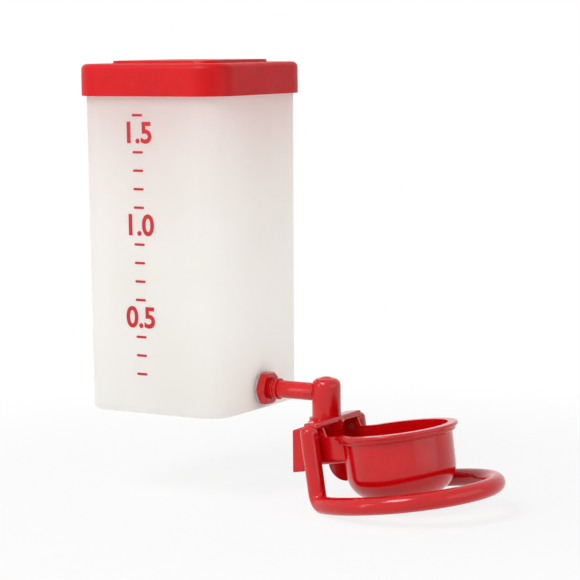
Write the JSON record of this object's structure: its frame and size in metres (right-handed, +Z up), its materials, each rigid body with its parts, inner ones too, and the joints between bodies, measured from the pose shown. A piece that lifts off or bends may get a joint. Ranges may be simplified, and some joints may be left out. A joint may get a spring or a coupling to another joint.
{
  "type": "poultry waterer",
  "caption": "Gravity waterer for poultry: square lidded tank, outlet pipe and elbow, and a round drinking cup that tips in a ring guard to shut its valve.",
  "frame": {"origin": "centre of the tank's flat base", "axes": "+Z up; +X from the tank along the outlet pipe to the cup; +Y across, the plane y = 0 is the plane of symmetry"},
  "size_m": [0.2604, 0.1058, 0.2658],
  "materials": {
    "red_plastic": "glossy injection moulded polypropylene, red all through",
    "tank_polyethylene": "milky, slightly translucent polyethylene",
    "clear_silicone": "greyish translucent silicone",
    "black_rubber": "nitrile rubber",
    "stainless_steel": "plain stainless steel",
    "white_acetal": "smooth white acetal"
  },
  "bodies": {
    "tank_and_valve": {"elbow": "red_plastic", "elbow_seal": "black_rubber", "guard_frame": "red_plastic", "lock_nut": "red_plastic", "outlet_pipe": "red_plastic", "pipe_seal": "black_rubber", "pivot_pins": "stainless_steel", "return_spring": "stainless_steel", "tank": "tank_polyethylene", "tank_gasket": "clear_silicone", "tank_washer": "clear_silicone", "valve_body": "red_plastic", "valve_cap": "white_acetal", "valve_seat": "clear_silicone"},
    "cup": {"cup": "red_plastic", "spring_seat": "white_acetal", "seat_screw": "stainless_steel"},
    "stem": {"valve_stem": "white_acetal", "stem_seal": "black_rubber"},
    "lid": {"lid": "red_plastic"}
  },
  "joints": [
    {"name": "cup_tip", "type": "hinge", "parent": "tank_and_valve", "child": "cup", "pos_m": [0.10046, 0, -0.00967], "axis": [0, 1, 0], "range_deg": [0, 8.3], "stiffness_Nm_per_rad": 0.05, "springref_deg": -22.92},
    {"name": "stem_slide", "type": "slide", "parent": "tank_and_valve", "child": "stem", "axis": [0, 0, 1], "range_m": [0, 0.00108], "deforming": ["return_spring"]},
    {"name": "lid_lift", "type": "slide", "parent": "tank_and_valve", "child": "lid", "axis": [0, 0, 1], "range_m": [0, 0.06]}
  ],
  "couplings": [
    {"joint": "stem_slide", "follows": "cup_tip", "m_per_rad": 0.007386}
  ]
}
